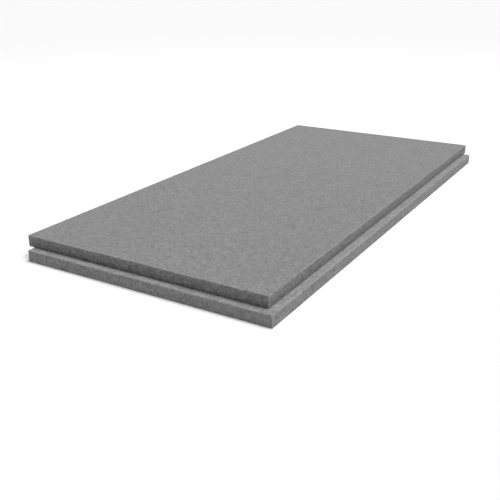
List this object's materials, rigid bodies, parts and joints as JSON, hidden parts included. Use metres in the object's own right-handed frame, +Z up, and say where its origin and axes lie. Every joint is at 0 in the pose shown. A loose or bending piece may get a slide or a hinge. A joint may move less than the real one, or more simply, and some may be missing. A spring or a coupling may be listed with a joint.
{
  "type": "rebated eps insulation board",
  "caption": "Rigid grey bead-foam sheet, milled with a stepped half-lap along every edge so that neighbouring boards overlap; lies flat.",
  "frame": {"origin": "centre of the underside of the bounding box", "axes": "+X along the length, from the end ledge at -X to the end lip at +X; +Y across the width, from the side ledge at -Y to the side lip at +Y; +Z up, from the face with the ledges' underside to the face with the lips' top"},
  "size_m": [1.25, 0.6, 0.05],
  "materials": {
    "eps_foam": "matte, grey expanded polystyrene beads"
  },
  "bodies": {
    "root": {"eps_board": "eps_foam"}
  },
  "joints": []
}
